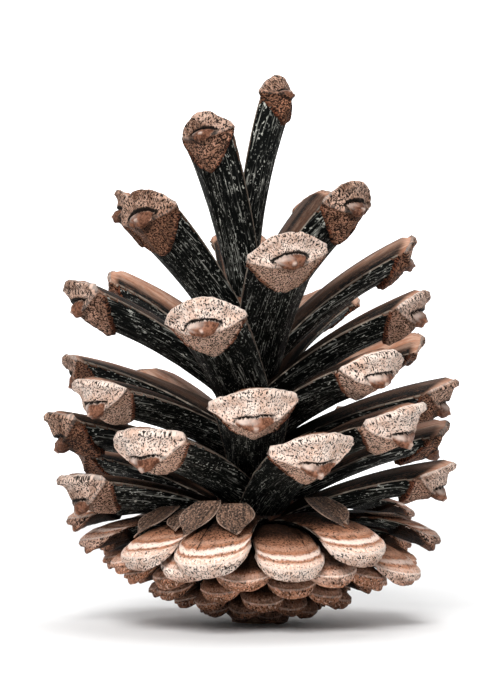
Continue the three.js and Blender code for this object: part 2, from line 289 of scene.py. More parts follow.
@dataclass(frozen=True)
class Measures:
    """One scale's own sizes, in millimetres and radians."""

    index: int
    heading: float
    recurve: float
    start: float
    root: float
    reach: float
    tip: float
    half_width: float
    depth: float
    flank: float
    roll: float
    tone: float
    bleach: float
    skew: float

    @property
    def closed(self) -> float:
        """1 for a scale of the closed base, 0 for an open one."""
        return float(self.index < OPEN_INDEX)

    @classmethod
    def at(cls, index: int) -> "Measures":
        """Reads a scale's sizes off the stations on each side of it.

        Args:
            index: The scale's place in the spiral.

        Returns:
            Its sizes, with its own small seeded roll, tone and skew, and its paleness: seeded, painted lighter
            as it faces the front, less at the crown, and painted darker on the lowest closed rows.
        """
        row = {name: np.interp(index, [s.index for s in STATIONS], [getattr(s, name) for s in STATIONS])
               for name in ("start", "root", "reach", "tip", "half_width", "depth", "flank")}
        turn, lift = OFF_SPIRAL.get(index, (0.0, 0.0))
        twist = ROLL_DEG.get(index, 0.0)
        heading = math.radians(SPIRAL_START_DEG - index * DIVERGENCE_DEG + turn)
        front = math.cos(heading - math.radians(DROOP_HEADING_DEG))
        if index < OPEN_INDEX:
            lift -= (FRONT_DROOP if front > 0 else BACK_LIFT) * front * row["reach"] / DROOP_REACH
        row["tip"] += lift
        draw = np.random.default_rng(FIRST_DRAW + index)
        # Painted light: the paleness rises as the scale faces the front, and the lowest closed rows are painted
        # darker as shade.
        toward = math.cos(heading)
        if index < OPEN_INDEX:
            recurve = RECURVE_CLOSED_DEG
            bleach = mix(*PALE_CLOSED, smooth(*PALE_FRONT_CLOSED, toward)) * smooth(*PALE_NUMBERS, index)
        else:
            recurve = RECURVE_OPEN_DEG
            twist += TWIST_OPEN_DEG
            kept = 1 - PALE_LOST * smooth(*DULL_HEIGHTS, row["tip"])
            bleach = mix(*PALE, smooth(*PALE_FRONT, toward)) * kept
        return cls(
            index=index,
            heading=heading,
            recurve=math.radians(recurve),
            roll=math.radians(draw.uniform(-ROLL_SPREAD_DEG, ROLL_SPREAD_DEG) + twist),
            tone=draw.uniform(0.0, 1.0),
            bleach=float(np.clip(bleach + draw.uniform(-BLEACH_SPREAD, BLEACH_SPREAD), 0.0, 1.0)),
            skew=draw.uniform(-SKEW_SPREAD, SKEW_SPREAD),
            **row,
        )


@dataclass(frozen=True)
class CentreLine:
    """The arc that a scale follows from its root to its end edge, in the upright plane through the axis."""

    measures: Measures

    @property
    def slope(self) -> float:
        """The arc's slope at the root."""
        m = self.measures
        return math.atan2(m.tip - m.root, m.reach - m.start) + m.recurve / 2

    @property
    def length(self) -> float:
        """The arc's length from root to end edge."""
        m, half_turn = self.measures, self.measures.recurve / 2
        return math.hypot(m.tip - m.root, m.reach - m.start) * half_turn / math.sin(half_turn)

    def place(self, points: np.ndarray) -> np.ndarray:
        """Carries points of a flat scale onto the arc, and leans the cone.

        Args:
            points: Along, across and up on the scale, in millimetres, on the last axis.

        Returns:
            The points in the cone's frame, in metres. Nothing lies under the floor.
        """
        m = self.measures
        bend = m.recurve / self.length
        along, side, up = points[..., 0], points[..., 1], points[..., 2]
        roll = m.roll * np.clip(along / self.length, 0.0, 1.0)
        side, up = side * np.cos(roll) - up * np.sin(roll), side * np.sin(roll) + up * np.cos(roll)
        slope = self.slope - bend * along
        radius = m.start + (math.sin(self.slope) - np.sin(slope)) / bend - up * np.sin(slope)
        height = m.root + (np.cos(slope) - math.cos(self.slope)) / bend + up * np.cos(slope)
        out_x, out_y = math.sin(m.heading), -math.cos(m.heading)
        x, height = lean_cone(out_x * radius - out_y * side, height)
        y = out_y * radius + out_x * side
        return np.stack([x, y, height], axis=-1) * MM


def deselect_all() -> None:
    """Leaves object mode with nothing selected."""
    if bpy.context.object and bpy.context.object.mode != "OBJECT":
        bpy.ops.object.mode_set(mode="OBJECT")
    bpy.ops.object.select_all(action="DESELECT")


def apply_modifiers(piece: bpy.types.Object) -> None:
    """Applies all of a piece's modifiers, in order.

    Args:
        piece: The piece, which is left selected.
    """
    deselect_all()
    piece.select_set(True)
    bpy.context.view_layer.objects.active = piece
    for modifier in list(piece.modifiers):
        bpy.ops.object.modifier_apply(modifier=modifier.name)


def read_points(mesh: bpy.types.Mesh) -> np.ndarray:
    """Reads where the points of a mesh are.

    Args:
        mesh: The mesh to read.

    Returns:
        One row of three numbers for each point.
    """
    places = np.empty(len(mesh.vertices) * 3, dtype=np.float32)
    mesh.vertices.foreach_get("co", places)
    return places.reshape(-1, 3).astype(float)


def move_points(mesh: bpy.types.Mesh, places: np.ndarray) -> None:
    """Moves the points of a mesh to new places."""
    mesh.vertices.foreach_set("co", places.astype(np.float32).ravel())


def write_points(mesh: bpy.types.Mesh, name: str, values: np.ndarray) -> None:
    """Stores a vector for each point of a mesh as a named attribute.

    Args:
        mesh: The mesh that gets the attribute.
        name: The attribute's name, which the finishes read.
        values: One vector of three numbers for each point.
    """
    layer = mesh.attributes.get(name) or mesh.attributes.new(name, "FLOAT_VECTOR", "POINT")
    layer.data.foreach_set("vector", np.ascontiguousarray(values, dtype=np.float32).ravel())


def join_meshes(name: str, meshes: list[bpy.types.Mesh]) -> bpy.types.Object:
    """Joins meshes to one piece.

    Args:
        name: The piece's name.
        meshes: What it is made of, in order.

    Returns:
        The piece, selected.
    """
    deselect_all()
    for number, mesh in enumerate(meshes):
        copy = bpy.data.objects.new(f"{name}_{number}", mesh)
        bpy.context.collection.objects.link(copy)
        copy.select_set(True)
        if number == 0:
            bpy.context.view_layer.objects.active = copy
    bpy.ops.object.join()
    piece = bpy.context.object
    piece.name = name
    piece.data.update()
    return piece


def mount_piece(piece: bpy.types.Object, finish: bpy.types.Material) -> None:
    """Dresses a finished piece and sets it on the cone's body.

    Args:
        piece: The piece.
        finish: Its only material.
    """
    piece.data.materials.clear()
    piece.data.materials.append(finish)
    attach(piece, BODY)
    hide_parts(NODE)
    LOG.info("%s: %d faces", piece.name, len(piece.data.polygons))


@dataclass
class ScaleBlank:
    """A flat sleeve of quads that every scale of a size is formed from.

    Its rows run out along the underside, up over the hood, round the lip and back along the upper face.
    """

    columns: int
    blade_rows: int
    step_rows: int
    lower_rows: int
    upper_rows: int
    lip_rows: int
    model: bpy.types.Object | None = field(default=None, init=False)

    def __post_init__(self) -> None:
        """Lists the rows, each with its zone and its share of the way through it."""
        spread = np.linspace(-1.0, 1.0, self.columns + 1)
        self.across = spread * (0.72 + 0.28 * np.abs(spread) ** 1.5)
        under = [(Zone.BLADE, 0.0)] + [(Zone.BLADE, t) for t in 1 - (1 - steps(self.blade_rows)) ** 1.15]
        under += [(Zone.STEP, t) for t in steps(self.step_rows)]
        under += [(Zone.LOWER, t) for t in 1 - (1 - steps(self.lower_rows)) ** 1.3]
        face = [(Zone.UPPER, t) for t in steps(self.upper_rows) ** 1.25]
        face += [(Zone.LIP, t) for t in steps(self.lip_rows)]
        self.under = under
        self.face = face
        self.rows = len(under) * 2 + len(face) - 1

    def build(self) -> None:
        """Models the sleeve once: a grid folded round the end, welded at its sides and capped at its root."""
        deselect_all()
        bpy.ops.mesh.primitive_grid_add(x_subdivisions=self.columns, y_subdivisions=self.rows - 1, size=1.0)
        self.model = bpy.context.object
        mesh = self.model.data
        mesh.uv_layers[0].name = UV_MAP
        flat = read_points(mesh)
        column = np.rint((flat[:, 0] + 0.5) * self.columns).astype(int)
        row = np.rint((flat[:, 1] + 0.5) * (self.rows - 1)).astype(int)
        write_points(mesh, "place", np.stack([row, column, np.zeros_like(row)], axis=-1))
        move_points(mesh, ScaleForm(self, Measures.at(0)).sleeve()[row, column] * MM)
        bpy.ops.object.mode_set(mode="EDIT")
        bpy.ops.mesh.select_all(action="SELECT")
        bpy.ops.mesh.remove_doubles(threshold=2e-7)
        bpy.ops.mesh.select_all(action="DESELECT")
        bpy.ops.mesh.select_mode(type="EDGE")
        bpy.ops.mesh.select_non_manifold(extend=False)
        bpy.ops.mesh.edge_face_add()
        bpy.ops.mesh.select_all(action="SELECT")
        bpy.ops.mesh.normals_make_consistent(inside=False)
        bpy.ops.object.mode_set(mode="OBJECT")
        bpy.ops.object.shade_smooth()

    def places(self) -> tuple[np.ndarray, np.ndarray]:
        """Reads which row and column of the blank each point of the welded sleeve came from.

        Returns:
            The rows, and the columns.
        """
        layer = self.model.data.attributes["place"].data
        values = np.empty(len(layer) * 3, dtype=np.float32)
        layer.foreach_get("vector", values)
        values = np.rint(values.reshape(-1, 3)).astype(int)
        return values[:, 0], values[:, 1]


class UnderRow(NamedTuple):
    """One row of points of the underside: its places along the scale, half width, heights and roundness."""

    middle: float
    edge: float
    half: float
    edge_up: float
    deep: float
    power: float
    top: float


@dataclass
class ScaleForm:
    """Forms one scale from a blank: its sleeve, its relief, and what its finish reads at each point."""

    blank: ScaleBlank
    measures: Measures

    def __post_init__(self) -> None:
        """Works out the sizes that the rows share."""
        m = self.measures
        self.length = CentreLine(m).length
        self.top = TOP_RISE * m.depth
        crown = smooth(*CROWN_HEIGHTS, m.tip)
        self.hood_power = math.log(1 - m.flank + CROWN_FULLER * crown) / math.log(FLANK_AT)
        self.hood_back = mix(HOOD_BACK, HOOD_BACK_CROWN, crown)
        raised = smooth(*RAISED_HEIGHTS, m.tip)
        arched = max(raised - smooth(*FLATTER_HEIGHTS, m.tip), m.closed)
        self.drop = mix(CORNER_DROP_FLAT, CORNER_DROP, arched) * m.half_width
        self.corner_back = mix(CORNER_BACK, CORNER_BACK_CLOSED, m.closed)
        self.lip = mix(LIP, LIP_CLOSED, m.closed) * m.half_width
        self.swell = mix(SWELL, SWELL_CLOSED, m.closed) * m.half_width
        self.boss_lift = mix(BOSS_LOW, BOSS_HIGH, raised) * m.half_width
        self.keel_depth = mix(KEEL_DEPTH_LOW, KEEL_DEPTH, max(raised, m.closed))
        self.end_arc = (1 - np.abs(self.blank.across) ** 2) ** mix(END_ROUND, END_ROUND_CLOSED, m.closed)

    def back(self, share: float) -> float:
        """The place along the scale that is a share of the half width behind its end edge."""
        return self.length - share * self.measures.half_width

    def under_row(self, zone: Zone, t: float) -> UnderRow:
        """Shapes one row of points of the underside.

        Args:
            zone: The zone that the row runs over.
            t: The row's share of the way through that zone.

        Returns:
            The row, with the height of the upper face above it.
        """
        m, corner = self.measures, self.corner_back
        hump = BLADE_RISE * m.depth
        root = UnderRow(0.0, 0.0, ROOT_WIDTH, 0.0, ROOT_DEPTH, BLADE_ROUND, hump)
        blade = UnderRow(
            middle=self.back(self.hood_back),
            edge=self.back(corner + BLADE_EDGE_BEHIND),
            half=BLADE_WIDTH,
            edge_up=-BLADE_DROP * self.drop,
            deep=BLADE_DEPTH,
            power=BLADE_ROUND,
            top=hump,
        )
        step = UnderRow(
            middle=self.back(self.hood_back - HOOD_STEP),
            edge=self.back(corner + STEP_EDGE_BEHIND),
            half=STEP_WIDTH,
            edge_up=-STEP_DROP * self.drop,
            deep=HOOD_DEPTH,
            power=self.hood_power,
            top=hump,
        )
        keel = UnderRow(
            middle=self.back(mix(KEEL_BACK, KEEL_BACK_CLOSED, m.closed)),
            edge=self.back(corner),
            half=1.0,
            edge_up=self.top - self.drop,
            deep=self.keel_depth,
            power=self.hood_power,
            top=self.top,
        )
        ends = {Zone.BLADE: (root, blade), Zone.STEP: (blade, step), Zone.LOWER: (step, keel)}
        row = UnderRow(*(mix(a, b, t) for a, b in zip(*ends[zone])))
        deep = row.deep
        if zone is Zone.STEP:
            deep = mix(BLADE_DEPTH, HOOD_DEPTH, smooth(0.0, 1.0, t))
        if zone is Zone.LOWER:
            deep += HOOD_SWELL * math.sin(math.pi * t)
        return row._replace(half=row.half * m.half_width, deep=deep * m.depth)

    def sleeve(self) -> np.ndarray:
        """The smooth scale, flat.

        Returns:
            Along, across and up in millimetres for each row and column of the blank.
        """
        m, q = self.measures, self.blank.across
        aside, arc = np.abs(q), self.end_arc
        rows, over = [], []
        for zone, t in self.blank.under:
            row = self.under_row(zone, t)
            along = row.middle + (row.edge - row.middle) * mix(aside**EDGE_SWEEP, 1 - arc, m.closed)
            up = row.edge_up - (row.deep + row.edge_up) * (1 - aside**row.power)
            rows.append(np.stack([along, q * row.half, up], axis=-1))
            top_middle = row.edge * self.length / self.back(self.corner_back)
            top_up = row.edge_up + (row.top - row.edge_up) * (1 - q**2)
            over.append(np.stack([row.edge + (top_middle - row.edge) * arc, q * row.half, top_up], axis=-1))
        keel = rows[-1]
        end = over[-1] - np.stack([np.zeros_like(q), np.zeros_like(q), self.lip * arc], axis=-1)
        rise = end - keel
        outward = np.stack([-rise[:, 2], np.zeros_like(q), rise[:, 0]], axis=-1) * -1
        outward /= np.linalg.norm(outward, axis=-1, keepdims=True) + 1e-9
        for zone, t in self.blank.face:
            if zone is Zone.UPPER:
                rows.append(keel + rise * t + outward * (self.swell * math.sin(math.pi * t) * arc)[:, None])
            else:
                bulge = LIP_BULGE * math.sin(math.pi * t)
                rows.append(end + np.stack([bulge * arc, 0 * q, t * arc], axis=-1) * self.lip)
        return np.stack(rows + over[-2::-1])

    def form(self) -> tuple[np.ndarray, dict[str, np.ndarray]]:
        """The scale in its place, with its relief.

        Returns:
            The points in metres, and the named vectors that its finish reads, by row and column.
        """
        m, blank = self.measures, self.blank
        flat = self.sleeve()
        count = len(blank.under)
        face_end = count + len(blank.face)
        run = np.linalg.norm(np.diff(flat, axis=0), axis=-1)
        path = np.concatenate([np.zeros((1, flat.shape[1])), np.cumsum(run, axis=0)])
        from_hood = path - path[blank.blade_rows]
        from_keel = path - path[count - 1]
        from_end = np.abs(path - path[face_end - 1])
        over = np.zeros(flat.shape[:2])
        over[face_end:] = 1.0
        from_hood[face_end:] = OVER_FROM_HOOD
        side = flat[..., 1]
        lens = self.lens(from_keel, side)
        lens[face_end:] = OVER_LENS + self.crease(flat, from_end)[face_end:]
        relief = self.relief(flat, from_hood, from_keel, from_end, over, lens)
        ragged = 0.07 * lattice_noise(side * 2.6, 0 * side, m.index + 7.5)
        ragged += 0.15 * lattice_noise(side * 0.5, 0 * side, m.index + 8.5)
        ragged *= mix(1.0, 0.4, m.closed)
        flat[..., 0] += ragged * np.exp(-from_end / 0.7) * (1 - np.abs(blank.across) ** 4)
        flat[..., 0] += m.skew * side * smooth(7.0, 0.0, from_end)
        along, across = np.gradient(flat, axis=0), np.gradient(flat, axis=1)
        normal = -np.cross(along, across)
        normal /= np.linalg.norm(normal, axis=-1, keepdims=True) + 1e-9
        points = CentreLine(m).place(flat + normal * relief[..., None])
        seed = np.full_like(side, (m.index - FIRST_SCALE) * PATTERN_STEP)
        edge = np.broadcast_to(np.abs(blank.across), side.shape)
        bands = smooth(*BANDED_NUMBERS, m.index)
        # Painted light: an open scale's upper face is painted lit and tan as it faces the back, and stays dark
        # at the sides and front as painted shade; the crown's sooty scales get none.
        bare = smooth(*UPPER_LIT_BACK, math.cos(m.heading)) * (1 - smooth(*SOOTY_NUMBERS, m.index))
        facts = {
            "lay": np.stack([from_hood, edge, over], axis=-1),
            "grain": np.stack([flat[..., 0], side, seed], axis=-1),
            "ending": np.stack([from_end, lens, from_keel], axis=-1),
            # trait: closed, the paleness with its painted light and shade, and the pale bands of a closed scale
            # or the painted light on an open scale's upper face.
            "trait": np.broadcast_to((m.closed, m.bleach, mix(bare, bands, m.closed)), flat.shape),
        }
        return points, facts

    def lens(self, from_keel: np.ndarray, side: np.ndarray) -> np.ndarray:
        """Tells how far inside the eye-shaped boss each point is.

        Args:
            from_keel: How far each point is above the keel.
            side: How far each point is from the middle.

        Returns:
            1 at the boss's middle, 0 at its rim, and less outside it.
        """
        half = self.measures.half_width
        lift = from_keel - self.boss_lift
        height = np.where(lift > 0, BOSS_ABOVE, BOSS_BELOW) * half
        return np.maximum(1 - (side / (BOSS_HALF * half)) ** 2 - np.abs(lift) / height, -2.0)

    def crease(self, flat: np.ndarray, from_end: np.ndarray) -> np.ndarray:
        """Tells how near each point is to the crack along the upper face of a closed scale.

        Args:
            flat: The points of the flat scale.
            from_end: How far each point is from the end edge.

        Returns:
            1 in the crack, and 0 beside it and on an open scale.
        """
        m = self.measures
        wander = 0.2 * lattice_noise(flat[..., 0] * 0.9, 0 * from_end, m.index + 9.5)
        beside = flat[..., 1] - m.half_width * (m.tone - 0.5) - m.skew * from_end * 2 - wander
        return crest(beside, 0.17) * smooth(0.9, 3.2, from_end) * m.closed

    def relief(
        self,
        flat: np.ndarray,
        from_hood: np.ndarray,
        from_keel: np.ndarray,
        from_end: np.ndarray,
        over: np.ndarray,
        lens: np.ndarray,
    ) -> np.ndarray:
        """Works out how far each point stands out from the smooth scale.

        Args:
            flat: The points of the flat scale.
            from_hood: How far each point is past the start of the hood.
            from_keel: How far each point is above the keel.
            from_end: How far each point is from the end edge.
            over: 1 on the upper face.
            lens: How far inside the boss each point is.

        Returns:
            The heights, in millimetres.
        """
        m = self.measures
        half, pattern = m.half_width, float(m.index + 100)
        along, side = flat[..., 0], flat[..., 1]

        def rough(height: float, run: np.ndarray, cells: tuple[float, float], number: int) -> np.ndarray:
            """Numbered noise over a run and the width, with so many cells to the millimetre."""
            return height * lattice_noise(run * cells[0], side * cells[1], pattern + number)

        fibre = rough(0.08, along, (0.1, 2.3), 0) + rough(0.04, along, (0.3, 4.1), 1)
        fibre += rough(0.2, along, (0.05, 0.6), 7)
        lumps = rough(0.22, from_keel, (0.36, 0.4), 2) + rough(0.1, from_keel, (0.8, 0.9), 6)
        lumps += 0.07 * lattice_noise(from_keel * 0.6 + side * 0.2, side * 1.9, pattern + 3)
        lift = from_keel - self.boss_lift
        inside = smooth(-0.02, 0.22, lens)
        boss = 0.025 * half + 0.085 * half * np.clip(lens, 0.0, 1.0) + rough(0.09, from_keel, (1.7, 1.7), 8)
        boss += 0.02 * half * crest(side, 0.05 * half)
        point = 0.05 * half * crest(np.hypot(side, lift), 0.05 * half)
        groove = 0.08 * half * crest(lens + 0.2, 0.18) * np.where(lift > 0, 1.0, 0.4)
        dish = 0.14 * crest(from_end - 1.9, 0.8) * smooth(0.3, 0.9, from_keel) * (1 - inside)
        brow = 0.28 * smooth(1.5, 0.5, from_end) * smooth(0.2, 0.6, from_keel) - dish
        ridge = 0.42 * crest(from_keel, 0.36) * (1 - inside)
        rim = 0.3 * crest(from_hood - 0.4, 0.36)
        hood = lumps * (1 - 0.8 * inside) * mix(1.0, 0.6, m.closed) + rough(0.045, from_keel, (2.4, 2.8), 4)
        hood += (boss * inside + point - groove + brow + ridge + rim) * (1 - m.closed)
        terrace = 0.07 * np.sin(from_end * 2.6 + 3 * m.tone)
        terrace *= smooth(6.0, 1.0, from_end) * smooth(0.0, 1.0, from_end)
        upper = rough(0.05, along, (0.16, 1.7), 5) + (terrace - 0.3 * self.crease(flat, from_end)) * m.closed
        on_hood = smooth(-0.15, 0.35, from_hood) * (1 - over)
        return np.where(over > 0, upper, mix(fibre, hood, on_hood))


@dataclass
class ScaleTier:
    """A run of neighbouring scales, made as one piece."""

    name: str
    first: int
    last: int
    blank: ScaleBlank
    tile_shape: float = 4.5

    def build(self, finish: bpy.types.Material) -> bpy.types.Object:
        """Forms the tier's scales from copies of the blank and joins them.

        Args:
            finish: The material of the scales.

        Returns:
            The finished piece.
        """
        row, column = self.blank.places()
        indices = [i for i in range(self.first, self.last + 1) if i not in LOST_SCALES]
        per_line = max(1, round(math.sqrt(len(indices) * self.tile_shape)))
        lines = math.ceil(len(indices) / per_line)
        meshes = []
        for number, index in enumerate(indices):
            points, facts = ScaleForm(self.blank, Measures.at(index)).form()
            mesh = self.blank.model.data.copy()
            move_points(mesh, points[row, column])
            for name, values in facts.items():
                write_points(mesh, name, values[row, column])
            self.lay_map(mesh, number % per_line, number // per_line, per_line, lines)
            mesh.attributes.remove(mesh.attributes["place"])
            meshes.append(mesh)
        piece = join_meshes(self.name, meshes)
        mount_piece(piece, finish)
        return piece

    @staticmethod
    def lay_map(mesh: bpy.types.Mesh, across: int, down: int, per_line: int, lines: int) -> None:
        """Gives a scale its own tile of the piece's map, with a margin round it.

        Args:
            mesh: The scale.
            across: The tile's place in its line.
            down: The tile's line.
            per_line: How many tiles a line has.
            lines: How many lines there are.
        """
        data = mesh.uv_layers[UV_MAP].data
        places = np.empty(len(data) * 2, dtype=np.float32)
        data.foreach_get("uv", places)
        places = places.reshape(-1, 2) * (0.94, 0.98) + (0.03, 0.01)
        places = (places + (across, down)) / (per_line, lines)
        data.foreach_set("uv", places.astype(np.float32).ravel())


@dataclass
class ConeAxis:
    """The woody axis that carries the scales, with the flat scar of its stalk underneath.

    Its profile is a list of radii and heights, from the scar up.
    """

    profile: tuple[tuple[float, float], ...] = (
        (3.4, 0.0),
        (3.5, 0.5),
        (5.6, 3.0),
        (6.6, 7.0),
        (5.6, 13.0),
        (4.0, 22.0),
        (3.2, 36.0),
        (2.4, 45.0),
        (0.9, 46.7),
    )
    sides: int = 48
    edge_round: float = 0.2
    grain_size: float = 1.1
    grain_height: float = 0.5
    scar_below: float = 0.3

    def build(self, finish: bpy.types.Material) -> bpy.types.Object:
        """Extrudes the axis ring by ring from its scar, roughens it and leans it.

        Args:
            finish: The material of the axis.

        Returns:
            The finished piece.
        """
        deselect_all()
        radius, height = self.profile[0]
        bpy.ops.mesh.primitive_circle_add(
            vertices=self.sides, radius=radius * MM, fill_type="NGON", location=(0, 0, height * MM)
        )
        piece = bpy.context.object
        piece.name = "cone_axis"
        bpy.ops.object.transform_apply(location=True)
        bpy.ops.object.mode_set(mode="EDIT")
        bpy.ops.mesh.select_all(action="SELECT")
        for wider, higher in self.profile[1:]:
            bpy.ops.mesh.extrude_region_move(TRANSFORM_OT_translate={"value": (0, 0, (higher - height) * MM)})
            grow = wider / radius
            bpy.ops.transform.resize(value=(grow, grow, 1), center_override=(0, 0, higher * MM))
            radius, height = wider, higher
        bpy.ops.mesh.select_all(action="SELECT")
        bpy.ops.mesh.normals_make_consistent(inside=False)
        bpy.ops.object.mode_set(mode="OBJECT")
        bevel = piece.modifiers.new("soft_edges", "BEVEL")
        bevel.width = self.edge_round * MM
        bevel.segments = 2
        finer = piece.modifiers.new("finer", "SUBSURF")
        finer.subdivision_type = "SIMPLE"
        finer.levels = finer.render_levels = 2
        grain = bpy.data.textures.new("axis_grain", "CLOUDS")
        grain.noise_scale = self.grain_size * MM
        rough = piece.modifiers.new("rough", "DISPLACE")
        rough.texture = grain
        rough.texture_coords = "LOCAL"
        rough.strength = self.grain_height * MM
        rough.mid_level = 0.5
        apply_modifiers(piece)
        self.settle(piece.data)
        bpy.ops.object.shade_smooth()
        mount_piece(piece, finish)
        return piece

    def settle(self, mesh: bpy.types.Mesh) -> None:
        """Leans the axis with the cone and lays its scar flat on the floor.

        Args:
            mesh: The upright axis.
        """
        places = read_points(mesh)
        low = places[:, 2] < self.scar_below * MM
        x, height = lean_cone(places[:, 0], places[:, 2])
        move_points(mesh, np.stack([x, places[:, 1], np.where(low, 0.0, height)], axis=-1))
        mesh.update()


@dataclass(frozen=True)
class Wing:
    """One seed wing: its scale, its place on it, how it splays and curls, and how high its root is."""

    index: int
    side: float
    start: float
    splay_deg: float
    curl_deg: float
    lift: float = 0.0


@dataclass
class SeedWings:
    """The papery wings that the seeds left behind on the skirt."""

    wings: tuple[Wing, ...] = (
        Wing(-12, 0.2, 0.5, 10.0, 45.0),
        Wing(-11, -0.3, 0.52, -15.0, 30.0, 1.2),
        Wing(-10, -0.32, 0.54, -16.0, 12.0, 2.8),
        Wing(-10, 0.36, 0.53, 20.0, 30.0, 2.8),
        Wing(-9, 0.3, 0.48, 12.0, 45.0),
        Wing(-8, -0.32, 0.54, 16.0, 8.0, 3.2),
        Wing(-7, 0.35, 0.54, 22.0, 40.0, 1.4),
        Wing(-7, -0.3, 0.5, -18.0, 50.0),
        Wing(-6, -0.2, 0.48, -10.0, 25.0),
        Wing(-5, -0.34, 0.54, -20.0, 16.0, 3.4),
        Wing(-5, 0.34, 0.56, 18.0, 30.0, 3.4),
    )
    length: float = 6.2
    half_width: float = 2.5
    thickness: float = 0.12
    sunk: float = 0.1
    columns: int = 22
    rows: int = 36

    def build(self, finish: bpy.types.Material) -> bpy.types.Object:
        """Models one strip of paper, then curls a copy of it on each scale that kept a wing.

        Args:
            finish: The material of the wings.

        Returns:
            The finished piece.
        """
        deselect_all()
        bpy.ops.mesh.primitive_grid_add(x_subdivisions=self.columns, y_subdivisions=self.rows, size=1.0)
        strip = bpy.context.object
        flat = read_points(strip.data)
        meshes = []
        for wing in self.wings:
            mesh = strip.data.copy()
            points, paper = self.curl(wing, flat[:, 0] * 2, flat[:, 1] + 0.5)
            move_points(mesh, points)
            write_points(mesh, "paper", paper)
            meshes.append(mesh)
        bpy.data.objects.remove(strip)
        piece = join_meshes("seed_wings", meshes)
        skin = piece.modifiers.new("paper", "SOLIDIFY")
        skin.thickness = self.thickness * MM
        skin.offset = 0.0
        apply_modifiers(piece)
        bpy.ops.object.shade_smooth()
        mount_piece(piece, finish)
        return piece

    def curl(self, wing: Wing, across: np.ndarray, share: np.ndarray) -> tuple[np.ndarray, np.ndarray]:
        """Places a strip of paper on its scale.

        Args:
            wing: Which wing it is.
            across: From -1 to 1 over its width.
            share: From 0 at its root to 1 at its end.

        Returns:
            The points in metres, and along, across and nearness to the edge for the finish.
        """
        m = Measures.at(wing.index)
        line = CentreLine(m)
        seed = float(wing.index * 1.7)
        half = self.half_width * np.sin(math.pi * (0.2 + 0.76 * share)) ** 0.8
        ragged = 1 + 0.05 * lattice_noise(across * 2.2, share * 0 + seed, seed) * share
        run = share * self.length * ragged * (1 - 0.3 * across**2 * share**2)
        radius = self.length / math.radians(wing.curl_deg)
        bow = radius * (1 - np.cos(run / radius)) + wing.lift * (1 - share)
        wave = 0.3 * lattice_noise(across * 1.4, share * 2.2, seed + 3) * share
        up = bow - bow.min() + 0.9 * share * across**2 + wave - self.sunk
        ahead = radius * np.sin(run / radius)
        splay = math.radians(wing.splay_deg)
        beside = across * half
        along = wing.start * line.length + ahead * math.cos(splay) - beside * math.sin(splay) * share
        side = wing.side * m.half_width + ahead * math.sin(splay) + beside * math.cos(splay)
        points = line.place(np.stack([along, side, up], axis=-1))
        edge = np.maximum(np.abs(across), share)
        paper = np.stack([share * self.length + seed * 9, across * half, edge], axis=-1)
        return points, paper


class Value:
    """A number or a colour that a material works out, with the arithmetic of numbers."""

    def __init__(self, graph: "Graph", socket: bpy.types.NodeSocket) -> None:
        """Wraps an output socket of a graph's node."""
        self.graph = graph
        self.socket = socket

    def _math(self, operation: str, first: "Value | float", second: "Value | float") -> "Value":
        """Adds a Math node."""
        return self.graph.node("ShaderNodeMath", {"operation": operation}, {0: first, 1: second})

    def __add__(self, other: "Value | float") -> "Value":
        """Self plus other."""
        return self._math("ADD", self, other)

    __radd__ = __add__

    def __sub__(self, other: "Value | float") -> "Value":
        """Self minus other."""
        return self._math("SUBTRACT", self, other)

    def __rsub__(self, other: float) -> "Value":
        """Other minus self."""
        return self._math("SUBTRACT", other, self)

    def __mul__(self, other: "Value | float") -> "Value":
        """Self times other."""
        return self._math("MULTIPLY", self, other)

    __rmul__ = __mul__

    def __abs__(self) -> "Value":
        """Self without its sign."""
        return self._math("ABSOLUTE", self, 0.0)

    def above(self, low: float, high: float) -> "Value":
        """Steps softly from one value of self to another.

        Args:
            low: The value that gives 0.
            high: The value that gives 1, which may be the smaller one.

        Returns:
            The step.
        """
        limits = {1: low, 2: high, 3: 0.0, 4: 1.0} if low < high else {1: high, 2: low, 3: 1.0, 4: 0.0}
        return self.graph.node("ShaderNodeMapRange", {"interpolation_type": "SMOOTHSTEP"}, {0: self, **limits})


